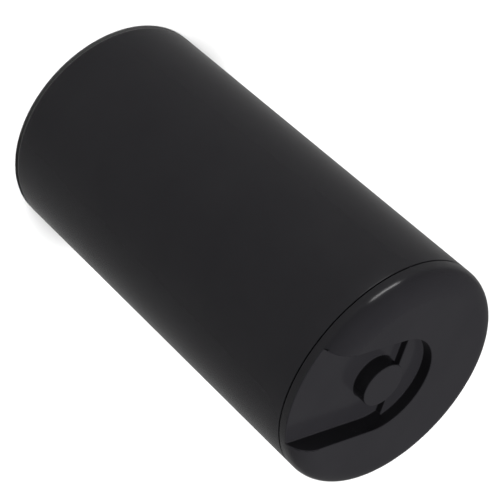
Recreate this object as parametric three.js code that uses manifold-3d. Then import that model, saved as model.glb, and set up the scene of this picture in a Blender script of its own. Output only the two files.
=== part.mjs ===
// Fire blanket in a round plastic case. The case stands on its base with its axis along +Z. The lid closes
// the top with a plug and a seal ring, and its grip recess opens towards -Y. Inside, a folded and rolled
// glass-fibre blanket waits with two pull tapes on top. Millimetres.
import * as THREE from 'three';
import { mergeVertices } from 'three/addons/utils/BufferGeometryUtils.js';
import Module from 'manifold-3d';

const wasm = await Module();
wasm.setup();

// ---- overall sizes ----
const overallHeight = 191;
const caseDiameter = 100;
const wall = 2.2; // case side and lid skin
const fitGap = 0.3; // between pieces that touch on the real object

// ---- base and foot ring ----
const footStand = 0.8; // how far the foot ring lifts the case
const floorThickness = 3.6;
const baseEdgeRadius = 2.5;
const innerCornerRadius = 2;
const footRingInset = 9; // from the case's outside to the ring
const footRingWidth = 6;
const footRingHeight = 2.3;

// ---- lid ----
const lidHeight = 11.5; // visible height above the seam
const rimRadius = 9.25;
const plugLength = 12.5;
const plugThickness = 3;
const plugClearance = 0.5; // radial, to the bore of the case
const plugChamfer = 0.8;
const shoulderHeight = 2.5; // ring that joins the plug to the lid skin
const shoulderOverlap = 1;
const leadInChamfer = 1; // mouth of the case

// ---- grip recess in the lid ----
const recessWidth = 43.6;
const recessSideOffset = -2.5; // its centre line, from the axis along X
const recessEndCentre = -8.2; // centre of its round end, along Y
const openFloorDepth = 7.75;
const closedFloorDepth = 4.9;
const floorStep = 0.4; // where the two floors meet, along Y
const bossDiameter = 19.2;
const bossCentre = -9.5; // along Y
const bossDrop = 1.3; // its top lies below the lid's face
const recessSkin = 2;

// ---- seal ring and inner plate ----
const sealRingHeight = 1.8;
const sealRingThickness = 1.4;
const sealRingClearance = 0.2; // radial, to the bore
const sealRingAboveTip = 5.2; // bottom of the ring, from the tip of the plug
const plateThickness = 1.3;
const plateClearance = 0.45;
const retainingBead = 0.95; // how far the bead under the plate stands in
const beadHeight = 1;

// ---- blanket ----
const rollClearance = 1.5; // radial, to the inside of the plug, so that the roll can be drawn out
const rollEdgeRadius = 1.4;
const hemWidth = 15;
const hemThickness = 0.7;
const hemMiddle = 200; // degrees round the roll

// ---- pull tapes ----
const tapeWidth = 25;
const tapeThickness = 1.6;
const tapeSpacing = 3; // between the two tapes
const tapeCornerMargin = 0.1; // from the tapes' outer corners in to the edge of the roll
const tapeHeadroom = 1.5; // from the tapes up to the inner plate
const stitchRootGap = 3; // from the fold at the tape's root to the stitching
const stitchWidth = 17;
const stitchLength = 17;
const stitchLine = 0.8;
const stitchHeight = 0.35;

// ---- leaflet ----
const leafletWidth = 105;
const leafletHeadroom = 14.3; // below the tip of the plug
const leafletThickness = 0.5;
const leafletMiddle = 20; // degrees round the case
const leafletWallGap = 2.1;

// ---- fineness of round shapes ----
const roundSteps = 64;
const arcSteps = 4;
const recessSteps = 20;

// ---- derived ----
const caseRadius = caseDiameter / 2;
const boreRadius = caseRadius - wall;
const seamHeight = overallHeight - lidHeight;
const caseTop = seamHeight - fitGap;
const floorTop = footStand + floorThickness;
const footRingOuter = caseRadius - footRingInset;
const footRingInner = footRingOuter - footRingWidth;
const plugOuter = boreRadius - plugClearance;
const plugInner = plugOuter - plugThickness;
const plugTip = seamHeight - plugLength;
const shoulderTop = seamHeight + shoulderHeight;
const sealOuter = boreRadius - sealRingClearance;
const sealInner = sealOuter - sealRingThickness;
const sealBottom = plugTip + sealRingAboveTip;
const sealTop = sealBottom + sealRingHeight;
const plateTop = overallHeight - openFloorDepth - recessSkin - plateClearance;
const plateBottom = plateTop - plateThickness;
const plateRadius = plugInner - plateClearance;
const beadTop = plateBottom - fitGap;
const tapeTop = plateBottom - tapeHeadroom;
const tapeBottom = tapeTop - tapeThickness;
const rollRadius = plugInner - rollClearance;
const rollBottom = floorTop + fitGap;
const rollTop = tapeBottom - fitGap; // the cloth is seven of these heights wide, about 1200
const tapeMiddle = (tapeWidth + tapeSpacing) / 2;
const tapeOuterSide = tapeSpacing / 2 + tapeWidth;
const tapeReach = Math.sqrt(rollRadius ** 2 - tapeOuterSide ** 2) - tapeCornerMargin;

const degrees = Math.PI / 180;

// ---- shape helpers ----
// Points of a round edge in a profile: centre, radius and two angles in degrees.
function arc(r, z, radius, from, to) {
  return Array.from({ length: arcSteps + 1 }, (_, i) => {
    const angle = (from + ((to - from) * i) / arcSteps) * degrees;
    return [r + radius * Math.cos(angle), z + radius * Math.sin(angle)];
  });
}

// A solid turned round +Z from [radius, height] points that run anticlockwise.
function turned(profile, steps = roundSteps) {
  const points = profile.map(([r, z]) => new THREE.Vector2(r, z));
  return solid(new THREE.LatheGeometry(points, steps).rotateX(Math.PI / 2));
}

// A ring of rectangular section.
function ring(inner, outer, bottom, top) {
  return turned([[inner, bottom], [outer, bottom], [outer, top], [inner, top], [inner, bottom]]);
}

// A flat outline raised from one height to another.
function raised(shape, bottom, top, curveSegments = recessSteps) {
  const settings = { depth: top - bottom, bevelEnabled: false, curveSegments };
  return solid(new THREE.ExtrudeGeometry(shape, settings).translate(0, 0, bottom));
}

// A part of a round sleeve: two radii and the angles of its two ends.
function sleevePart(inner, outer, from, to, bottom, top) {
  const shape = new THREE.Shape();
  shape.absarc(0, 0, outer, from, to, false);
  shape.absarc(0, 0, inner, to, from, true);
  return raised(shape, bottom, top);
}

function solid(geometry) {
  geometry.deleteAttribute('normal');
  geometry.deleteAttribute('uv');
  const merged = mergeVertices(geometry, 1e-4);
  return new wasm.Manifold(
    new wasm.Mesh({
      numProp: 3,
      vertProperties: merged.attributes.position.array,
      triVerts: new Uint32Array(merged.index.array),
    }),
  );
}

const fireBlanket = new THREE.Group();

function addPiece(name, manifold, material) {
  const mesh = manifold.getMesh();
  const geometry = new THREE.BufferGeometry();
  geometry.setAttribute('position', new THREE.BufferAttribute(mesh.vertProperties, 3));
  geometry.setIndex(new THREE.BufferAttribute(mesh.triVerts, 1));
  geometry.computeVertexNormals();
  const piece = new THREE.Mesh(geometry, material);
  piece.name = name;
  fireBlanket.add(piece);
}

function finish(color, roughness) {
  return new THREE.MeshStandardMaterial({ color, roughness, metalness: 0 });
}

// ---- case ----
// The case is one moulded cup. Its base has a groove that takes the foot ring.
function caseShell() {
  const outside = [
    [0, footStand],
    ...arc(caseRadius - baseEdgeRadius, footStand + baseEdgeRadius, baseEdgeRadius, -90, 0),
    [caseRadius, caseTop],
  ];
  const inside = [
    [boreRadius + leadInChamfer, caseTop],
    [boreRadius, caseTop - leadInChamfer],
    ...arc(boreRadius - innerCornerRadius, floorTop + innerCornerRadius, innerCornerRadius, 0, -90),
    [0, floorTop],
  ];
  const groove = ring(
    footRingInner - fitGap,
    footRingOuter + fitGap,
    footStand - 1,
    footRingHeight + fitGap,
  );
  return turned([...outside, ...inside]).subtract(groove);
}

// ---- lid ----
// The outline of the recess, seen from above: two straight walls and a round end. Growing it by a skin
// gives the outline of the walls' other side.
function recessOutline(grow, endAt) {
  const half = recessWidth / 2 + grow;
  const past = -caseDiameter;
  const shape = new THREE.Shape();
  shape.moveTo(recessSideOffset - half, past);
  shape.lineTo(recessSideOffset + half, past);
  if (endAt === undefined) {
    shape.absarc(recessSideOffset, recessEndCentre, half, 0, Math.PI, false);
  } else {
    const endAngle = Math.asin((endAt - recessEndCentre) / half);
    shape.absarc(recessSideOffset, recessEndCentre, half, 0, endAngle, false);
    shape.absarc(recessSideOffset, recessEndCentre, half, Math.PI - endAngle, Math.PI, false);
  }
  return shape;
}

function recessBody(grow, top) {
  const closedPart = raised(recessOutline(grow), overallHeight - closedFloorDepth - grow, top);
  const openPart = raised(
    recessOutline(grow, floorStep + grow),
    overallHeight - openFloorDepth - grow,
    top,
  );
  const bossRadius = bossDiameter / 2 - grow;
  const bossShape = new THREE.Shape().absarc(
    recessSideOffset, bossCentre, bossRadius, 0, 2 * Math.PI, false,
  );
  const boss = raised(bossShape, 0, overallHeight - bossDrop - grow);
  return closedPart.add(openPart).subtract(boss);
}

function lidShell() {
  const rimCentreRadius = caseRadius - rimRadius;
  const rimCentreHeight = overallHeight - rimRadius;
  const cap = turned([
    [0, seamHeight],
    [caseRadius, seamHeight],
    ...arc(rimCentreRadius, rimCentreHeight, rimRadius, 0, 90),
    [0, overallHeight],
  ]);
  const hollow = turned([
    [0, seamHeight - 1],
    [boreRadius, seamHeight - 1],
    ...arc(rimCentreRadius, rimCentreHeight, rimRadius - wall, 0, 90),
    [0, overallHeight - wall],
  ]);
  const plug = turned([
    [plugInner, plugTip],
    [plugOuter - plugChamfer, plugTip],
    [plugOuter, plugTip + plugChamfer],
    [plugOuter, sealBottom - fitGap],
    [sealInner - fitGap, sealBottom - fitGap],
    [sealInner - fitGap, sealTop + fitGap],
    [plugOuter, sealTop + fitGap],
    [plugOuter, seamHeight],
    [boreRadius + shoulderOverlap, seamHeight],
    [boreRadius + shoulderOverlap, shoulderTop],
    [plugInner, shoulderTop],
    [plugInner, beadTop],
    [plugInner - retainingBead, beadTop],
    [plugInner - retainingBead, beadTop - beadHeight + retainingBead / 2],
    [plugInner, beadTop - beadHeight - retainingBead / 2],
    [plugInner, plugTip],
  ]);
  const roof = overallHeight + 1;
  const innerSpace = hollow.subtract(recessBody(recessSkin, roof));
  return cap.subtract(innerSpace).add(plug).subtract(recessBody(0, roof));
}

// ---- blanket ----
function blanketRoll() {
  return turned([
    [0, rollBottom],
    ...arc(rollRadius - rollEdgeRadius, rollBottom + rollEdgeRadius, rollEdgeRadius, -90, 0),
    ...arc(rollRadius - rollEdgeRadius, rollTop - rollEdgeRadius, rollEdgeRadius, 0, 90),
    [0, rollTop],
  ]);
}

function blanketEndHem() {
  const inner = rollRadius + fitGap;
  const halfAngle = hemWidth / inner / 2;
  const middle = hemMiddle * degrees;
  return sleevePart(
    inner,
    inner + hemThickness,
    middle - halfAngle,
    middle + halfAngle,
    rollBottom,
    rollTop,
  );
}

// ---- pull tapes ----
// A flat folded loop of tape with round ends, lying across the top of the roll. side is -1 or 1.
function pullTape(side) {
  const round = tapeThickness / 2;
  const middle = (tapeBottom + tapeTop) / 2;
  const shape = new THREE.Shape();
  shape.absarc(tapeReach - round, middle, round, -Math.PI / 2, Math.PI / 2, false);
  shape.absarc(round - tapeReach, middle, round, Math.PI / 2, 1.5 * Math.PI, false);
  const settings = { depth: tapeWidth, bevelEnabled: false, curveSegments: arcSteps };
  const geometry = new THREE.ExtrudeGeometry(shape, settings);
  geometry.rotateX(Math.PI / 2).translate(0, tapeWidth / 2 - side * tapeMiddle, 0);
  return solid(geometry);
}

// A box of stitches with a cross in it, sewn through the tape near its root.
function tapeStitching(side) {
  const x = side * (tapeReach - stitchRootGap - stitchLength / 2);
  const y = -side * tapeMiddle;
  const shape = new THREE.Shape();
  const corners = [[-1, -1], [1, -1], [1, 1], [-1, 1]];
  const outer = corners.map(([i, j]) => [(i * stitchLength) / 2, (j * stitchWidth) / 2]);
  shape.setFromPoints(outer.map(([dx, dy]) => new THREE.Vector2(x + dx, y + dy)));
  const inset = stitchLine * 1.2;
  corners.forEach(([i, j], k) => {
    const [nextI, nextJ] = corners[(k + 1) % corners.length];
    const edgeI = (i + nextI) / 2;
    const edgeJ = (j + nextJ) / 2;
    const point = (a, b) => [
      (a * stitchLength) / 2 - edgeI * stitchLine - (a - edgeI) * 2 * inset,
      (b * stitchWidth) / 2 - edgeJ * stitchLine - (b - edgeJ) * 2 * inset,
    ];
    const apex = [edgeI * inset, edgeJ * inset];
    const triangle = [apex, point(i, j), point(nextI, nextJ)];
    shape.holes.push(
      new THREE.Path(triangle.map(([dx, dy]) => new THREE.Vector2(x + dx, y + dy))),
    );
  });
  const bottom = tapeTop + fitGap;
  return raised(shape, bottom, bottom + stitchHeight);
}

// ---- leaflet ----
function instructionLeaflet() {
  const outer = boreRadius - leafletWallGap;
  const halfAngle = leafletWidth / outer / 2;
  const middle = leafletMiddle * degrees;
  return sleevePart(
    outer - leafletThickness,
    outer,
    middle - halfAngle,
    middle + halfAngle,
    floorTop + fitGap,
    plugTip - leafletHeadroom,
  );
}

// ---- the assembly ----
const blackPlastic = () => finish('#232326', 0.35);

addPiece('case_shell', caseShell(), blackPlastic());
addPiece('foot_ring', ring(footRingInner, footRingOuter, 0, footRingHeight), finish('#1a1a1b', 0.8));
addPiece('instruction_leaflet', instructionLeaflet(), finish('#e9e6de', 0.9));
addPiece('lid_shell', lidShell(), blackPlastic());
addPiece('lid_seal_ring', ring(sealInner, sealOuter, sealBottom, sealTop), finish('#3b3b3d', 0.7));
addPiece('lid_inner_plate', ring(0, plateRadius, plateBottom, plateTop), finish('#2b2b2d', 0.6));
addPiece('blanket_roll', blanketRoll(), finish('#d9d6cc', 0.9));
addPiece('blanket_end_hem', blanketEndHem(), finish('#cfcbbf', 0.9));
for (const [name, side] of [['left', -1], ['right', 1]]) {
  addPiece(`${name}_pull_tape`, pullTape(side), finish('#b5221c', 0.8));
  addPiece(`${name}_tape_stitching`, tapeStitching(side), finish('#e8e4da', 0.8));
}

export default fireBlanket;
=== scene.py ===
"""Fire blanket in a round black plastic case, standing on its base. Metres, in the frame of the CAD model.

The case, the lid with its grip recess, the rings, the folded and rolled blanket and its tapes are built here
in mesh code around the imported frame.
"""

import math

import bmesh
import bpy
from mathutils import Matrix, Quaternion, Vector, noise


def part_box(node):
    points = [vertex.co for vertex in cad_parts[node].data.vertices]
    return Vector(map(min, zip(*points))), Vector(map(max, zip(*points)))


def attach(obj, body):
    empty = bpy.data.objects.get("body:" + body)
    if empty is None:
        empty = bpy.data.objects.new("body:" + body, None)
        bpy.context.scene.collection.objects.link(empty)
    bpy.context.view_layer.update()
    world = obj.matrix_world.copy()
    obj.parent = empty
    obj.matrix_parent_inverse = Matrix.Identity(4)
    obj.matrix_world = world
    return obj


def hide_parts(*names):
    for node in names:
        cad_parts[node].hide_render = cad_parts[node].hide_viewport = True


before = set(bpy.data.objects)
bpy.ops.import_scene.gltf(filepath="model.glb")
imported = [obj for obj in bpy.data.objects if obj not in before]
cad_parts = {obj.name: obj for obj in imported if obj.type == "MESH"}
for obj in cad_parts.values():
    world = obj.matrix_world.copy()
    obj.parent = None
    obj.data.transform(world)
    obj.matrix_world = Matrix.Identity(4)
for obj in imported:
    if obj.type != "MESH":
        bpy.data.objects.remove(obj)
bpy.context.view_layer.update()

MM = 0.001

# ---- sizes taken from the frame ----
case_low, case_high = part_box("case_shell")
lid_low, lid_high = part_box("lid_shell")
foot_low, foot_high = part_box("foot_ring")
seal_low, seal_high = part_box("lid_seal_ring")
plate_low, plate_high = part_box("lid_inner_plate")
roll_low, roll_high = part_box("blanket_roll")
tape_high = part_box("left_pull_tape")[1]
hem_low, hem_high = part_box("blanket_end_hem")

CASE_RADIUS = case_high[0]
CASE_BOTTOM = case_low[2]
CASE_TOP = case_high[2]
LID_TOP = lid_high[2]
PLUG_TIP = lid_low[2]
ROLL_RADIUS = roll_high[0]
ROLL_BOTTOM = roll_low[2]
ROLL_TOP = roll_high[2]
TAPE_REACH = tape_high[0]

# ---- sizes of the mouldings, as in the CAD model ----
WALL = 2.2 * MM
FIT_GAP = 0.3 * MM
FLOOR_THICKNESS = 3.6 * MM
FOOT_WIDTH = 6 * MM
BASE_EDGE = 2.5 * MM
INNER_CORNER = 2.0 * MM
LEAD_IN = 1.0 * MM
RIM_RADIUS = 9.25 * MM
SEAM = CASE_TOP + FIT_GAP
BORE = CASE_RADIUS - WALL
PLUG_OUTER = BORE - 0.5 * MM
PLUG_INNER = PLUG_OUTER - 3.0 * MM
SHOULDER_TOP = SEAM + 2.5 * MM
RECESS_X = -2.5 * MM
RECESS_HALF = 21.8 * MM
RECESS_END = -8.2 * MM
OPEN_DEPTH = 7.75 * MM
CLOSED_DEPTH = 4.9 * MM
FLOOR_STEP = 0.4 * MM
BOSS_RADIUS = 9.6 * MM
BOSS_Y = -9.5 * MM
BOSS_DROP = 1.3 * MM
RECESS_SKIN = 2.0 * MM
BEAD = 0.95 * MM
SEAL_THICKNESS = 1.4 * MM
LID_EDGE = 0.4 * MM  # rounding of the lid's edges

# ---- the blanket ----
CLOTH_LENGTH = 1.8
LAYERS = 7
ROLL_CORE = 5.0 * MM
COLUMNS_PER_TURN = 72
HEM_WIDTH = 15 * MM
HEM_THICKNESS = 0.7 * MM
HEM_MIDDLE = math.atan2((hem_low[1] + hem_high[1]) / 2, (hem_low[0] + hem_high[0]) / 2)

# ---- the leaflet ----
LEAFLET_WIDTH = 105 * MM
LEAFLET_THICKNESS = 0.3 * MM
LEAFLET_INSET = 2.5 * MM
LEAFLET_MIDDLE = math.radians(20)

# ---- camera ----
CAMERA_AZIMUTH = -39.15
CAMERA_ELEVATION = 33.98
CAMERA_ROLL = 132.05
CAMERA_DISTANCE = 0.7311
CAMERA_TARGET = Vector((-0.00015, 0.00012, 0.0979))
CAMERA_LENS = 129.43

# ---- studio ----
FLAG_ELEVATION = 12
FLAG_EDGES = (-0.35, 0.5)  # cosines from the flag's middle, between which the shade changes
SHADE_STRENGTHS = (0.12, 0.02)  # away from the flag, and on it
BELOW_EDGES = (-0.15, -0.35)  # heights in the world, between which it turns into the even light below
BELOW_STRENGTH = 0.28
SUN_STRENGTH = 5.3
FILL_STRENGTH = 0.25
SIDE_POWER = 0.7


# ---------------------------------------------------------------- mesh helpers
def new_object(name, mesh):
    obj = bpy.data.objects.new(name, mesh)
    bpy.context.scene.collection.objects.link(obj)
    return obj


def object_from(name, verts, faces, smooth=True):
    mesh = bpy.data.meshes.new(name)
    mesh.from_pydata(verts, [], faces)
    mesh.validate()
    mesh.polygons.foreach_set("use_smooth", [smooth] * len(mesh.polygons))
    mesh.update()
    return new_object(name, mesh)


def object_from_bmesh(name, bm):
    mesh = bpy.data.meshes.new(name)
    bm.to_mesh(mesh)
    bm.free()
    return new_object(name, mesh)


def arc(r, z, radius, start, end, steps=10):
    """Points of a round edge in a profile, from one angle to another in degrees."""
    points = []
    for i in range(steps + 1):
        a = math.radians(start + (end - start) * i / steps)
        points.append((r + radius * math.cos(a), z + radius * math.sin(a)))
    return points


def turned(name, profile, steps=192, closed=True):
    """A surface turned round +Z from (radius, height) points that run anticlockwise.

    A flat middle is one round face.
    """
    verts, faces, rows = [], [], []
    for r, z in profile:
        if r < 1e-7:
            rows.append([len(verts)] * steps)
            verts.append((0.0, 0.0, z))
            continue
        rows.append([len(verts) + i for i in range(steps)])
        for i in range(steps):
            a = 2 * math.pi * i / steps
            verts.append((r * math.cos(a), r * math.sin(a), z))
    pairs = list(zip(rows, rows[1:]))
    if closed and profile[0][0] > 1e-7:
        pairs.append((rows[-1], rows[0]))
    for low, high in pairs:
        flat = abs(verts[low[0]][2] - verts[high[0]][2]) < 1e-7
        if flat and low[0] == low[1]:
            faces.append(high[::-1])
            continue
        if flat and high[0] == high[1]:
            faces.append(low)
            continue
        for i in range(steps):
            j = (i + 1) % steps
            corners = [low[i], low[j], high[j], high[i]]
            face = [v for k, v in enumerate(corners) if v != corners[k - 1]]
            if len(face) > 2:
                faces.append(face)
    return object_from(name, verts, faces)


def extruded(name, outline, bottom, top):
    """A closed outline in X and Y, raised from one height to another."""
    count = len(outline)
    verts = [(x, y, bottom) for x, y in outline] + [(x, y, top) for x, y in outline]
    faces = [list(range(count))[::-1], list(range(count, 2 * count))]
    faces += [[i, (i + 1) % count, count + (i + 1) % count, count + i] for i in range(count)]
    return object_from(name, verts, faces, smooth=False)


def outward(obj):
    """Turns every face of a closed body outward."""
    bm = bmesh.new()
    bm.from_mesh(obj.data)
    bmesh.ops.recalc_face_normals(bm, faces=bm.faces)
    bm.to_mesh(obj.data)
    bm.free()


def boolean(obj, other, operation):
    """Cuts or joins another body, which is used up."""
    modifier = obj.modifiers.new(operation.lower(), "BOOLEAN")
    modifier.operation = operation
    modifier.solver = "EXACT"
    modifier.object = other
    apply_modifiers(obj)
    bpy.data.objects.remove(other, do_unlink=True)


def apply_modifiers(obj):
    depsgraph = bpy.context.evaluated_depsgraph_get()
    mesh = bpy.data.meshes.new_from_object(obj.evaluated_get(depsgraph))
    obj.modifiers.clear()
    old = obj.data
    obj.data = mesh
    bpy.data.meshes.remove(old)


def rounded_edges(obj, width, segments=3, angle=28):
    modifier = obj.modifiers.new("edges", "BEVEL")
    modifier.width = width
    modifier.segments = segments
    modifier.limit_method = "ANGLE"
    modifier.angle_limit = math.radians(angle)
    modifier.use_clamp_overlap = False
    apply_modifiers(obj)
    smooth_by_angle(obj, 40)
    weighted_normals(obj)


def weighted_normals(obj):
    """Large faces keep their own normals, so that flat faces stay flat up to their rounded edges."""
    modifier = obj.modifiers.new("normals", "WEIGHTED_NORMAL")
    modifier.mode = "FACE_AREA"
    modifier.weight = 100
    modifier.keep_sharp = True
    apply_modifiers(obj)


def smooth_by_angle(obj, angle):
    obj.data.polygons.foreach_set("use_smooth", [True] * len(obj.data.polygons))
    obj.data.set_sharp_from_angle(angle=math.radians(angle))


# ---------------------------------------------------------------- materials
class Nodes:
    """A short way to write a node tree."""

    def __init__(self, name):
        self.material = bpy.data.materials.new(name)
        self.material.use_nodes = True
        self.tree = self.material.node_tree
        self.shader = self.tree.nodes["Principled BSDF"]
        self.place = self.add("ShaderNodeTexCoord").outputs["Object"]

    def add(self, kind, inputs=None, **settings):
        node = self.tree.nodes.new(kind)
        for key, value in settings.items():
            setattr(node, key, value)
        for key, value in (inputs or {}).items():
            if isinstance(value, bpy.types.NodeSocket):
                self.tree.links.new(value, node.inputs[key])
            else:
                node.inputs[key].default_value = value
        return node

    def noise(self, scale, detail=3.0, roughness=0.5, place=None):
        settings = {
            "Vector": place or self.place,
            "Scale": scale,
            "Detail": detail,
            "Roughness": roughness,
        }
        return self.add("ShaderNodeTexNoise", settings).outputs["Fac"]

    def math(self, operation, a, b=0.0):
        return self.add("ShaderNodeMath", {0: a, 1: b}, operation=operation).outputs[0]

    def span(self, value, low, high, to_low, to_high):
        inputs = {0: value, 1: low, 2: high, 3: to_low, 4: to_high}
        return self.add("ShaderNodeMapRange", inputs).outputs[0]

    def ramp(self, value, stops):
        node = self.add("ShaderNodeValToRGB", {"Fac": value})
        elements = node.color_ramp.elements
        while len(elements) < len(stops):
            elements.new(0.5)
        for element, (position, color) in zip(elements, stops):
            element.position = position
            element.color = (*color, 1.0)
        return node.outputs["Color"]

    def bump(self, height, strength, distance, normal=None):
        inputs = {"Height": height, "Strength": strength, "Distance": distance}
        if normal is not None:
            inputs["Normal"] = normal
        return self.add("ShaderNodeBump", inputs).outputs["Normal"]

    def link(self, value, socket):
        self.tree.links.new(value, self.shader.inputs[socket])

    def fixed(self, socket, value):
        self.shader.inputs[socket].default_value = value


def moulded_plastic(name, dark, light, roughness, specular, grain=0.05):
    """Satin moulded plastic: faint cloudiness from the flow of the melt, and a fine eroded grain."""
    n = Nodes(name)
    clouds = n.noise(38.0, 4.0, 0.55)
    n.link(n.ramp(clouds, [(0.3, dark), (0.7, light)]), "Base Color")
    smears = n.noise(95.0, 3.0, 0.6)
    n.link(n.span(smears, 0.3, 0.7, roughness - 0.03, roughness + 0.04), "Roughness")
    fine = n.noise(2600.0, 2.0, 0.5)
    broad = n.noise(160.0, 2.0, 0.5)
    waviness = n.bump(broad, 0.05, 0.0003)
    n.link(n.bump(fine, grain, 0.00004, waviness), "Normal")
    n.fixed("Specular IOR Level", specular)
    return n.material


def soft_rubber(name, color):
    n = Nodes(name)
    dust = n.noise(900.0, 4.0, 0.6)
    n.link(n.ramp(dust, [(0.35, color), (0.75, tuple(c * 2.2 for c in color))]), "Base Color")
    n.link(n.span(n.noise(240.0), 0.3, 0.7, 0.62, 0.8), "Roughness")
    n.link(n.bump(n.noise(1800.0, 3.0), 0.15, 0.0001), "Normal")
    n.fixed("Specular IOR Level", 0.3)
    return n.material


def woven_cloth(name, shade, light, pitch, depth, along=1):
    """Plain weave, placed by the cloth's own two coordinates in metres. along sets how close the weft is."""
    n = Nodes(name)
    uv = n.add("ShaderNodeUVMap", uv_map="cloth").outputs["UV"]
    parts = n.add("ShaderNodeSeparateXYZ", {"Vector": uv})
    warp = n.math("SINE", n.math("MULTIPLY", parts.outputs[0], 2 * math.pi / pitch))
    weft = n.math("SINE", n.math("MULTIPLY", parts.outputs[1], 2 * math.pi / pitch * along))
    weave = n.math("MULTIPLY", warp, weft)
    ridges = n.math("ADD", n.math("ABSOLUTE", warp), n.math("ABSOLUTE", weft))
    height = n.math("ADD", n.math("MULTIPLY", weave, 0.5), n.math("MULTIPLY", ridges, 0.5))
    fuzz = n.noise(1400.0, 3.0, 0.6)
    height = n.math("ADD", height, n.math("MULTIPLY", fuzz, 0.5))
    # painted shade: the low places of the weave between the threads are coloured darker, from the same
    # height that drives the bump; the broad noise adds random tone on top
    tone = n.math("ADD", n.span(height, -0.4, 1.6, 0.0, 0.6), n.math("MULTIPLY", n.noise(30.0), 0.4))
    n.link(n.ramp(tone, [(0.15, shade), (0.85, light)]), "Base Color")
    n.link(n.span(fuzz, 0.3, 0.7, 0.6, 0.8), "Roughness")
    n.link(n.bump(height, 0.5, depth), "Normal")
    n.fixed("Sheen Weight", 0.25)
    n.fixed("Sheen Roughness", 0.4)
    n.fixed("Specular IOR Level", 0.35)
    return n.material


def sewing_thread(name, color):
    n = Nodes(name)
    twist = n.add(
        "ShaderNodeTexWave", {"Vector": n.place, "Scale": 1200.0, "Distortion": 1.0}
    ).outputs["Fac"]
    # painted shade: the grooves of the twist are coloured darker, following the same wave that drives the
    # bump
    n.link(n.ramp(twist, [(0.2, tuple(c * 0.75 for c in color)), (0.8, color)]), "Base Color")
    n.link(n.span(n.noise(2000.0), 0.3, 0.7, 0.5, 0.7), "Roughness")
    n.link(n.bump(twist, 0.4, 0.0001), "Normal")
    n.fixed("Sheen Weight", 0.2)
    return n.material


def blank_paper(name, color):
    n = Nodes(name)
    fibres = n.noise(700.0, 5.0, 0.65)
    n.link(n.ramp(fibres, [(0.3, tuple(c * 0.94 for c in color)), (0.7, color)]), "Base Color")
    n.link(n.span(n.noise(300.0), 0.3, 0.7, 0.72, 0.85), "Roughness")
    n.link(n.bump(fibres, 0.12, 0.00008), "Normal")
    n.fixed("Specular IOR Level", 0.3)
    return n.material


def pale_floor(name, color):
    n = Nodes(name)
    cloud = n.noise(1.5, 2.0, 0.5)
    n.link(n.ramp(cloud, [(0.2, tuple(c * 0.99 for c in color)), (0.8, color)]), "Base Color")
    n.fixed("Roughness", 0.9)
    n.fixed("Specular IOR Level", 0.1)
    return n.material


BLACK_PLASTIC = moulded_plastic(
    "black_plastic",
    dark=(0.0144, 0.0139, 0.0160),
    light=(0.0164, 0.0159, 0.0180),
    roughness=0.18,
    specular=0.28,
)
INNER_PLASTIC = moulded_plastic(
    "inner_plastic",
    dark=(0.03, 0.03, 0.032),
    light=(0.045, 0.045, 0.047),
    roughness=0.5,
    specular=0.35,
    grain=0.12,
)
RUBBER = soft_rubber("soft_rubber", (0.012, 0.012, 0.0125))
GLASS_CLOTH = woven_cloth(
    "glass_cloth", (0.5, 0.46, 0.38), (0.8, 0.77, 0.7), pitch=1.4 * MM, depth=0.3 * MM
)
HEM_TAPE = woven_cloth(
    "hem_tape", (0.46, 0.43, 0.36), (0.74, 0.71, 0.64), pitch=0.8 * MM, depth=0.2 * MM
)
RED_WEBBING = woven_cloth(
    "red_webbing", (0.22, 0.008, 0.006), (0.5, 0.024, 0.018), pitch=1.6 * MM, depth=0.4 * MM, along=2
)
THREAD = sewing_thread("thread", (0.75, 0.73, 0.68))
PAPER = blank_paper("paper", (0.82, 0.81, 0.78))


def dress(obj, material, slot_name, body, *nodes):
    obj.data.materials.clear()
    obj.data.materials.append(material)
    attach(obj, body)
    if nodes:
        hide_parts(*nodes)
    return obj


# ---------------------------------------------------------------- case
def make_case():
    """The cup: a moulding gate and a groove for the foot ring below, a lead-in at the mouth."""
    floor_top = CASE_BOTTOM + FLOOR_THICKNESS
    groove_outer = foot_high[0] + FIT_GAP
    groove_inner = foot_high[0] - FOOT_WIDTH - FIT_GAP
    groove_roof = foot_high[2] + FIT_GAP
    lip = 0.4 * MM
    gate = CASE_BOTTOM + 0.5 * MM
    rim_edge = 0.35 * MM
    bore_edge = 0.2 * MM
    profile = [
        (0, gate),
        (3.0 * MM, gate),
        *arc(3.5 * MM, CASE_BOTTOM + 0.2 * MM, 0.3 * MM, 135, 60, 4),
        (4.6 * MM, CASE_BOTTOM),
        (groove_inner - lip, CASE_BOTTOM),
        *arc(groove_inner - lip, CASE_BOTTOM + lip, lip, -90, 0, 4),
        (groove_inner, groove_roof - lip),
        *arc(groove_inner + lip, groove_roof - lip, lip, 180, 90, 4),
        *arc(groove_outer - lip, groove_roof - lip, lip, 90, 0, 4),
        (groove_outer, CASE_BOTTOM + lip),
        *arc(groove_outer + lip, CASE_BOTTOM + lip, lip, 180, 270, 4),
        *arc(CASE_RADIUS - BASE_EDGE, CASE_BOTTOM + BASE_EDGE, BASE_EDGE, -90, 0, 12),
    ]
    low, high = CASE_BOTTOM + BASE_EDGE, CASE_TOP - rim_edge
    profile += [(CASE_RADIUS, low + (high - low) * i / 24) for i in range(1, 24)]
    profile += arc(CASE_RADIUS - rim_edge, high, rim_edge, 0, 90, 5)
    profile += arc(BORE + LEAD_IN + bore_edge, CASE_TOP - bore_edge, bore_edge, 90, 150, 3)
    profile += [(BORE, CASE_TOP - LEAD_IN - 0.3 * MM)]
    profile += arc(BORE - INNER_CORNER, floor_top + INNER_CORNER, INNER_CORNER, 0, -90, 8)
    profile += [(6 * MM, floor_top), (0, floor_top)]
    case = turned("case", profile, 256)
    smooth_by_angle(case, 32)
    return dress(case, BLACK_PLASTIC, "black_plastic", "case", "case_shell")


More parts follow.
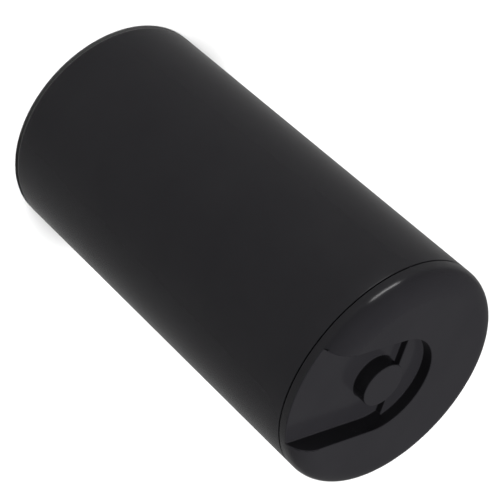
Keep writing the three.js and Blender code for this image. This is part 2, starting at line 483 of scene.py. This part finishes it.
def make_foot_ring():
    outer = foot_high[0]
    inner = outer - FOOT_WIDTH
    low, high = foot_low[2], foot_high[2]
    edge = 0.35 * MM
    profile = [(inner + edge, low), (inner + 2.2 * MM, low)]
    groove = 0.3 * MM
    profile += [(inner + 2.5 * MM, low + groove), (inner + 3.5 * MM, low + groove)]
    profile += [(inner + 3.8 * MM, low)]
    profile += arc(outer - edge, low + edge, edge, -90, 0, 4)
    profile += [(outer, high), (inner, high)]
    profile += arc(inner + edge, low + edge, edge, 180, 270, 4)[:-1]
    ring = turned("foot_ring_rubber", profile, 192)
    smooth_by_angle(ring, 40)
    return dress(ring, RUBBER, "soft_rubber", "case", "foot_ring")


# ---------------------------------------------------------------- lid
def recess_outline(grow, steps=56):
    """The recess seen from above: two straight walls and a round end.

    Also the indices of the two points where the step between the floors meets the wall.
    """
    half = RECESS_HALF + grow
    turn = math.asin((FLOOR_STEP + grow - RECESS_END) / half)
    angles = [a for a in (math.pi * i / steps for i in range(steps + 1)) if abs(a - turn) > 0.01]
    angles = sorted([a for a in angles if abs(math.pi - a - turn) > 0.01] + [turn, math.pi - turn])
    past = -2 * CASE_RADIUS
    points = [(RECESS_X - half, past), (RECESS_X + half, past)]
    points += [(RECESS_X + half * math.cos(a), RECESS_END + half * math.sin(a)) for a in angles]
    return points, 2 + angles.index(turn), 2 + angles.index(math.pi - turn)


def recess_body(grow, name):
    """The room above the two floors and round the boss, as one closed body."""
    outline, right, left = recess_outline(grow)
    roof = LID_TOP + 5 * MM
    deep, shallow = LID_TOP - OPEN_DEPTH - grow, LID_TOP - CLOSED_DEPTH - grow
    count = len(outline)
    verts = [(x, y, roof) for x, y in outline]
    verts += [(x, y, shallow if right <= i <= left else deep) for i, (x, y) in enumerate(outline)]
    verts += [(*outline[right], deep), (*outline[left], deep)]
    low_right, low_left = 2 * count, 2 * count + 1
    faces = [list(range(count))]
    for i in range(count):
        j = (i + 1) % count
        wall = [i, count + i, count + j, j]
        if j == right:
            wall.insert(2, low_right)
        if i == left:
            wall.insert(2, low_left)
        faces.append(wall)
    faces.append([count + i for i in range(left, right - 1, -1)])
    right_side = [count + i for i in range(right - 1, -1, -1)]
    left_side = [count + i for i in range(count - 1, left, -1)]
    faces.append([low_right, *right_side, *left_side, low_left])
    faces.append([count + right, low_right, low_left, count + left])
    body = object_from(name, verts, faces, smooth=False)
    outward(body)
    radius = BOSS_RADIUS - grow
    circle = []
    for i in range(96):
        a = 2 * math.pi * i / 96
        circle.append((RECESS_X + radius * math.cos(a), BOSS_Y + radius * math.sin(a)))
    boss = extruded(name + "_boss", circle, LID_TOP - 20 * MM, LID_TOP - BOSS_DROP - grow)
    boolean(body, boss, "DIFFERENCE")
    return body


def make_lid():
    """The lid as one body: hollow from below, with the plug, and the recess cut from above."""
    rim_r, rim_z = CASE_RADIUS - RIM_RADIUS, LID_TOP - RIM_RADIUS
    lip = 0.35 * MM
    skin = turned(
        "lid",
        [
            (0, SEAM),
            *arc(CASE_RADIUS - lip, SEAM + lip, lip, -90, 0, 4),
            *arc(rim_r, rim_z, RIM_RADIUS, 0, 90, 24),
            (0, LID_TOP),
        ],
        256,
    )
    hollow = turned(
        "hollow",
        [
            (0, SEAM - 1 * MM),
            (BORE, SEAM - 1 * MM),
            *arc(rim_r, rim_z, RIM_RADIUS - WALL, 0, 90, 12),
            (0, LID_TOP - WALL),
        ],
        128,
    )
    boolean(hollow, recess_body(RECESS_SKIN, "inner_recess"), "DIFFERENCE")
    boolean(skin, hollow, "DIFFERENCE")
    boolean(skin, make_plug(), "UNION")
    boolean(skin, recess_body(0.0, "recess"), "DIFFERENCE")
    rounded_edges(skin, LID_EDGE)
    return dress(skin, BLACK_PLASTIC, "black_plastic", "lid", "lid_shell")


def make_plug():
    seal_inner = seal_high[0] - SEAL_THICKNESS - FIT_GAP
    seal_bottom, seal_top = seal_low[2] - FIT_GAP, seal_high[2] + FIT_GAP
    bead_top = plate_low[2] - FIT_GAP
    chamfer = 0.8 * MM
    overlap = 1.0 * MM
    return turned(
        "plug",
        [
            (PLUG_INNER, PLUG_TIP),
            (PLUG_OUTER - chamfer, PLUG_TIP),
            (PLUG_OUTER, PLUG_TIP + chamfer),
            (PLUG_OUTER, seal_bottom),
            (seal_inner, seal_bottom),
            (seal_inner, seal_top),
            (PLUG_OUTER, seal_top),
            (PLUG_OUTER, SEAM),
            (BORE + overlap, SEAM),
            (BORE + overlap, SHOULDER_TOP),
            (PLUG_INNER, SHOULDER_TOP),
            (PLUG_INNER, bead_top),
            (PLUG_INNER - BEAD, bead_top),
            (PLUG_INNER - BEAD, bead_top - 1 * MM + BEAD / 2),
            (PLUG_INNER, bead_top - 1 * MM - BEAD / 2),
        ],
        128,
    )


def make_seal_ring():
    outer, low, high = seal_high[0], seal_low[2], seal_high[2]
    inner = outer - SEAL_THICKNESS
    middle = (low + high) / 2
    edge = 0.45 * MM
    shoulder = outer - 0.5 * MM
    profile = [(inner, low), (shoulder, low)]
    profile += arc(outer - edge, low + edge, edge, -80, 30, 5)
    profile += [(outer - 0.3 * MM, middle)]
    profile += arc(outer - edge, high - edge, edge, -30, 80, 5)
    profile += [(shoulder, high), (inner, high)]
    ring = turned("lid_seal_rubber", profile, 192)
    smooth_by_angle(ring, 50)
    return dress(ring, RUBBER, "soft_rubber", "lid", "lid_seal_ring")


def make_inner_plate():
    radius, low, high = plate_high[0], plate_low[2], plate_high[2]
    edge = 0.25 * MM
    rib = 0.35 * MM
    profile = [(0, low + rib), (8 * MM, low + rib), (8.6 * MM, low), (11 * MM, low)]
    profile += [(11.6 * MM, low + rib), (radius - 6 * MM, low + rib), (radius - 5.4 * MM, low)]
    profile += arc(radius - edge, low + edge, edge, -90, 0, 4)
    profile += arc(radius - edge, high - edge, edge, 0, 90, 4)
    profile += [(0, high)]
    plate = turned("lid_back_plate", profile, 192)
    smooth_by_angle(plate, 30)
    return dress(plate, INNER_PLASTIC, "inner_plastic", "lid", "lid_inner_plate")


# ---------------------------------------------------------------- blanket
def add_uv(obj, coordinates):
    """coordinates gives each vertex its place along the cloth, in metres."""
    layer = obj.data.uv_layers.new(name="cloth")
    for loop in obj.data.loops:
        layer.data[loop.index].uv = coordinates[loop.vertex_index]


def make_blanket():
    """One sheet: folded in seven along its width, then rolled up along its length."""
    inner, outer = ROLL_CORE, ROLL_RADIUS - FIT_GAP
    turns = CLOTH_LENGTH / (math.pi * (inner + outer))
    pitch = (outer - inner) / turns
    step = pitch / LAYERS
    columns = int(turns * COLUMNS_PER_TURN)
    panel_rows, fold_rows = 6, 3
    bend = step / 2
    path = []
    for k in range(LAYERS):
        up = k % 2 == 0
        low, high = ROLL_BOTTOM + bend, ROLL_TOP - 1.2 * MM
        for i in range(panel_rows + 1):
            share = i / panel_rows
            z = low + (high - low) * (share if up else 1 - share)
            path.append((k * step, z))
        if k < LAYERS - 1:
            for i in range(1, fold_rows + 1):
                a = math.pi * i / (fold_rows + 1)
                across = k * step + bend * (1 - math.cos(a))
                rise = bend * 2.0 * math.sin(a)
                path.append((across, high + rise if up else low - bend * math.sin(a) * 0.9))
    rows = len(path)
    lengths = [0.0]
    for (a, b), (c, d) in zip(path, path[1:]):
        lengths.append(lengths[-1] + math.hypot(c - a, d - b))
    verts, faces, places = [], [], []
    for i in range(columns + 1):
        turn = turns * i / columns
        angle = HEM_MIDDLE + HEM_WIDTH / 2 / ROLL_RADIUS - 2 * math.pi * (turns - turn)
        base = inner + pitch * turn
        along = math.pi * (inner + base) * turn
        for j, (offset, z) in enumerate(path):
            height = (z - ROLL_BOTTOM) / (ROLL_TOP - ROLL_BOTTOM)
            wave = noise.noise(Vector((2.2 * math.cos(angle), 2.2 * math.sin(angle), turn * 0.9)))
            ripple = noise.noise(Vector((base * 240, angle * 1.7, z * 30.0)))
            r = base - (LAYERS * step) + offset + step
            r += step * 0.5 * ripple + 0.25 * MM * wave * height
            lift = 0.9 * MM * wave * height ** 4 + 0.4 * MM * ripple * height ** 6
            r = min(max(r, 1.0 * MM), ROLL_RADIUS)
            top = min(z + lift, ROLL_TOP)
            verts.append((r * math.cos(angle), r * math.sin(angle), max(top, ROLL_BOTTOM)))
            places.append((along, lengths[j]))
    for i in range(columns):
        for j in range(rows - 1):
            a = i * rows + j
            faces.append((a, a + rows, a + rows + 1, a + 1))
    cloth = object_from("blanket_cloth", verts, faces)
    add_uv(cloth, places)
    return dress(cloth, GLASS_CLOTH, "glass_cloth", "blanket", "blanket_roll")


def curved_strip(name, radius, thickness, middle, width, low, high, columns, rows, shape=None):
    """A thin closed strip that bends round the axis. shape(u, v) moves it in or out."""
    verts, faces, places = [], [], []
    for side in (0, 1):
        for j in range(rows + 1):
            for i in range(columns + 1):
                u, v = i / columns, j / rows
                angle = middle + (u - 0.5) * width / radius
                r = radius + (thickness if side else 0.0) + (shape(u, v) if shape else 0.0)
                z = low + (high - low) * v
                verts.append((r * math.cos(angle), r * math.sin(angle), z))
                places.append((u * width, v * (high - low)))
    layer = (rows + 1) * (columns + 1)

    def at(side, i, j):
        return side * layer + j * (columns + 1) + i

    for j in range(rows):
        for i in range(columns):
            faces.append((at(1, i, j), at(1, i + 1, j), at(1, i + 1, j + 1), at(1, i, j + 1)))
            faces.append((at(0, i, j), at(0, i, j + 1), at(0, i + 1, j + 1), at(0, i + 1, j)))
    for i in range(columns):
        faces.append((at(0, i, 0), at(0, i + 1, 0), at(1, i + 1, 0), at(1, i, 0)))
        faces.append((at(0, i, rows), at(1, i, rows), at(1, i + 1, rows), at(0, i + 1, rows)))
    for j in range(rows):
        faces.append((at(0, 0, j), at(1, 0, j), at(1, 0, j + 1), at(0, 0, j + 1)))
        faces.append((at(0, columns, j), at(0, columns, j + 1), at(1, columns, j + 1), at(1, columns, j)))
    obj = object_from(name, verts, faces)
    add_uv(obj, places)
    smooth_by_angle(obj, 50)
    return obj


def make_hem():
    """The binding tape along the cloth's outer end, with its two rows of stitches."""
    low, high = hem_low[2], hem_high[2]
    radius = ROLL_RADIUS + FIT_GAP
    rows = (0.2, 0.8)
    pitch = 3 * MM
    thread = Vector((0, 0, 2.2 * MM))

    def pucker(u, v):
        """The seams draw the tape in, a little more and less along its 171 mm."""
        seam = sum(math.exp(-(((u - row) / 0.06) ** 2)) for row in rows)
        return -0.18 * MM * seam * (0.7 + 0.3 * math.sin(v * 171 * 2.1))

    hem = curved_strip(
        "blanket_hem", radius, HEM_THICKNESS, HEM_MIDDLE, HEM_WIDTH, low, high, 20, 170, pucker
    )
    dress(hem, HEM_TAPE, "hem_tape", "blanket", "blanket_end_hem")
    stitches = bmesh.new()
    for row in rows:
        angle = HEM_MIDDLE + (row - 0.5) * HEM_WIDTH / radius
        r = radius + 0.55 * MM
        z = low + 2 * MM
        while z < high - pitch:
            start = Vector((r * math.cos(angle), r * math.sin(angle), z))
            add_stitch(stitches, start, start + thread, 0.25 * MM)
            z += pitch
    line = object_from_bmesh("hem_stitches", stitches)
    smooth_by_angle(line, 60)
    dress(line, THREAD, "thread", "blanket")
    return hem, line


def add_stitch(bm, start, end, radius, sides=6):
    """One stitch: a short bowed thread whose ends dive into the cloth."""
    direction = (end - start).normalized()
    side = direction.orthogonal().normalized()
    other = direction.cross(side)
    length = (end - start).length
    rings = []
    for k in range(5):
        t = k / 4
        taper = math.sqrt(max(0.05, 1 - (2 * t - 1) ** 4))
        centre = start + direction * length * t
        ring = []
        for i in range(sides):
            a = 2 * math.pi * i / sides
            spoke = side * math.cos(a) + other * math.sin(a)
            ring.append(bm.verts.new(centre + spoke * radius * taper))
        rings.append(ring)
    for low, high in zip(rings, rings[1:]):
        for i in range(sides):
            j = (i + 1) % sides
            bm.faces.new((low[i], low[j], high[j], high[i]))
    bm.faces.new(rings[0][::-1])
    bm.faces.new(rings[-1])


# ---------------------------------------------------------------- pull tapes
def make_tape(side_name, side):
    """One pull tape: ribbed webbing that lies flat on top of the roll, with its box of stitches."""
    body = side_name + "_tape"
    low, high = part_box(side_name + "_pull_tape")
    round_r = (high[2] - low[2]) / 2
    y_middle = (low[1] + high[1]) / 2
    half_width = (high[1] - low[1]) / 2
    root, tip = side * TAPE_REACH, -side * TAPE_REACH
    centre = (low[2] + high[2]) / 2
    columns = 50
    verts, faces, places = [], [], []
    sections = 14
    rib_height = 0.05 * MM

    def section(x, z_low, z_high):
        """The tape cut across: a ribbed upper face, then the lower one on the way back."""
        ring = []
        for way, z in ((1, z_high), (-1, z_low)):
            for k in range(sections + 1):
                v = way * (-1 + 2 * k / sections)
                rib = rib_height * math.cos(v * math.pi * 9)
                edge = 1 - 0.35 * max(0.0, (abs(v) - 0.9) / 0.1) ** 2
                height = centre + (z - centre) * edge - way * rib_height + way * rib
                ring.append((x, y_middle + v * half_width, height))
        return ring

    count = 2 * (sections + 1)
    for i in range(columns + 1):
        t = i / columns
        x = root + (tip - root) * t
        end = min(t, 1 - t) * abs(tip - root)
        swell = math.sqrt(max(0.0, 1 - max(0.0, 1 - end / round_r) ** 2)) if end < round_r else 1.0
        swell = max(swell, 0.08)
        z_low = centre - (centre - low[2]) * swell
        z_high = centre + (high[2] - centre) * swell
        for point in section(x, z_low, z_high):
            verts.append(point)
            places.append((abs(x - root), point[1] - y_middle + (0.1 if point[2] < centre else 0)))
    for i in range(columns):
        for k in range(count):
            a, b = i * count + k, i * count + (k + 1) % count
            quad = (a, b, b + count, a + count)
            faces.append(quad if side < 0 else quad[::-1])
    first = list(range(count))
    last = [columns * count + k for k in range(count)]
    faces.append(first[::-1] if side < 0 else first)
    faces.append(last if side < 0 else last[::-1])
    tape = object_from(side_name + "_tape_loop", verts, faces)
    add_uv(tape, places)
    smooth_by_angle(tape, 55)
    dress(tape, RED_WEBBING, "red_webbing", body, side_name + "_pull_tape")

    stitches = bmesh.new()
    s_low, s_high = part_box(side_name + "_tape_stitching")
    z = high[2] + 0.02 * MM
    margin = 0.4 * MM
    pitch = 2.7 * MM
    x0, x1, y0, y1 = s_low[0] + margin, s_high[0] - margin, s_low[1] + margin, s_high[1] - margin
    corners = [(x0, y0), (x1, y0), (x1, y1), (x0, y1)]
    runs = list(zip(corners, corners[1:] + corners[:1]))
    runs += [(corners[0], corners[2]), (corners[1], corners[3])]
    for a, b in runs:
        start, end = Vector((*a, z)), Vector((*b, z))
        parts = round((end - start).length / pitch)
        for k in range(parts):
            p = start.lerp(end, (k + 0.1) / parts)
            q = start.lerp(end, (k + 0.9) / parts)
            add_stitch(stitches, p, q, 0.27 * MM)
    sewn = object_from_bmesh(side_name + "_box_stitches", stitches)
    smooth_by_angle(sewn, 60)
    dress(sewn, THREAD, "thread", body, side_name + "_tape_stitching")
    return tape, sewn


# ---------------------------------------------------------------- leaflet
def make_leaflet():
    """A blank sheet folded once, curved between the roll and the case."""
    low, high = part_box("instruction_leaflet")
    radius = BORE - LEAFLET_INSET

    def fold(u, v):
        crease = math.exp(-(((v - 0.5) / 0.012) ** 2))
        curl = 0.3 * MM * math.sin(u * math.pi * 2.0) * (v - 0.5)
        return -0.25 * MM * crease + curl - 0.3 * MM

    leaflet = curved_strip(
        "leaflet",
        radius,
        LEAFLET_THICKNESS,
        LEAFLET_MIDDLE,
        LEAFLET_WIDTH,
        low[2],
        high[2],
        columns=48,
        rows=60,
        shape=fold,
    )
    return dress(leaflet, PAPER, "paper", "case", "instruction_leaflet")


# ---------------------------------------------------------------- stage
def make_floor():
    size = 6.0
    verts = [(-size, -size, 0), (size, -size, 0), (size, size, 0), (-size, size, 0)]
    floor = object_from("floor", verts, [(0, 1, 2, 3)])
    floor.data.materials.append(pale_floor("floor_paint", (0.68, 0.68, 0.68)))
    floor.visible_glossy = False


def direction(azimuth, elevation):
    """From the object towards a camera or light. Azimuth 0 is in front, at -Y."""
    a, e = math.radians(azimuth), math.radians(elevation)
    return Vector((math.sin(a) * math.cos(e), -math.cos(a) * math.cos(e), math.sin(e)))


def make_camera():
    camera = bpy.data.objects.new("camera", bpy.data.cameras.new("camera"))
    bpy.context.scene.collection.objects.link(camera)
    camera.data.lens = CAMERA_LENS
    camera.data.sensor_width = 36.0
    camera.data.clip_start = 0.01
    back = direction(CAMERA_AZIMUTH, CAMERA_ELEVATION)
    camera.location = CAMERA_TARGET + back * CAMERA_DISTANCE
    facing = (-back).to_track_quat("-Z", "Y")
    roll = Quaternion((0, 0, 1), math.radians(CAMERA_ROLL))
    camera.rotation_euler = (facing @ roll).to_euler()
    bpy.context.scene.camera = camera


def make_light(name, azimuth, elevation, distance, size, power, aim):
    data = bpy.data.lights.new(name, "AREA")
    data.shape = "RECTANGLE"
    data.size, data.size_y = size
    data.energy = power
    light = bpy.data.objects.new(name, data)
    bpy.context.scene.collection.objects.link(light)
    toward = direction(azimuth, elevation)
    light.location = Vector(aim) + toward * distance
    light.rotation_euler = (-toward).to_track_quat("-Z", "Y").to_euler()
    return light


def make_world():
    """A pale studio with a dark flag behind the camera, and even light from below for the gloss."""
    names = ("From Min", "From Max", "To Min", "To Max")
    world = bpy.data.worlds.new("studio")
    world.use_nodes = True
    tree = world.node_tree
    background = tree.nodes["Background"]
    place = tree.nodes.new("ShaderNodeTexCoord").outputs["Generated"]
    flag = tree.nodes.new("ShaderNodeVectorMath")
    flag.operation = "DOT_PRODUCT"
    flag.inputs[1].default_value = direction(CAMERA_AZIMUTH, FLAG_ELEVATION)
    tree.links.new(place, flag.inputs[0])
    shade = tree.nodes.new("ShaderNodeMapRange")
    shade.interpolation_type = "SMOOTHSTEP"
    for socket, value in zip(names, FLAG_EDGES + SHADE_STRENGTHS):
        shade.inputs[socket].default_value = value
    tree.links.new(flag.outputs["Value"], shade.inputs["Value"])
    parts = tree.nodes.new("ShaderNodeSeparateXYZ")
    tree.links.new(place, parts.inputs[0])
    below = tree.nodes.new("ShaderNodeMapRange")
    for socket, value in zip(names, BELOW_EDGES + (0.0, 1.0)):
        below.inputs[socket].default_value = value
    tree.links.new(parts.outputs["Z"], below.inputs["Value"])
    blend = tree.nodes.new("ShaderNodeMix")
    tree.links.new(below.outputs["Result"], blend.inputs["Factor"])
    tree.links.new(shade.outputs["Result"], blend.inputs["A"])
    blend.inputs["B"].default_value = BELOW_STRENGTH
    tree.links.new(blend.outputs["Result"], background.inputs["Strength"])
    background.inputs["Color"].default_value = (1.0, 1.0, 1.0, 1.0)
    bpy.context.scene.world = world


def make_sun(name, azimuth, elevation, strength, angle):
    """A distant light that makes no highlight of its own."""
    data = bpy.data.lights.new(name, "SUN")
    data.energy = strength
    data.angle = math.radians(angle)
    sun = bpy.data.objects.new(name, data)
    bpy.context.scene.collection.objects.link(sun)
    sun.rotation_euler = (-direction(azimuth, elevation)).to_track_quat("-Z", "Y").to_euler()
    sun.visible_glossy = False


def make_studio():
    make_world()
    make_sun("overhead_key", CAMERA_AZIMUTH, elevation=84, strength=SUN_STRENGTH, angle=8)
    make_sun("soft_fill", CAMERA_AZIMUTH - 60, elevation=40, strength=FILL_STRENGTH, angle=60)
    make_light(
        "side_strip",
        azimuth=-88,
        elevation=-11,
        distance=0.62,
        size=(0.3, 0.06),
        power=SIDE_POWER,
        aim=(0, 0, 0.185),
    )
    bpy.context.scene.view_settings.view_transform = "Standard"


make_camera()
make_floor()
make_studio()
make_case()
make_foot_ring()
make_lid()
make_seal_ring()
make_inner_plate()
blanket = make_blanket()
hem_pieces = make_hem()
make_tape("left", -1)
make_tape("right", 1)
make_leaflet()
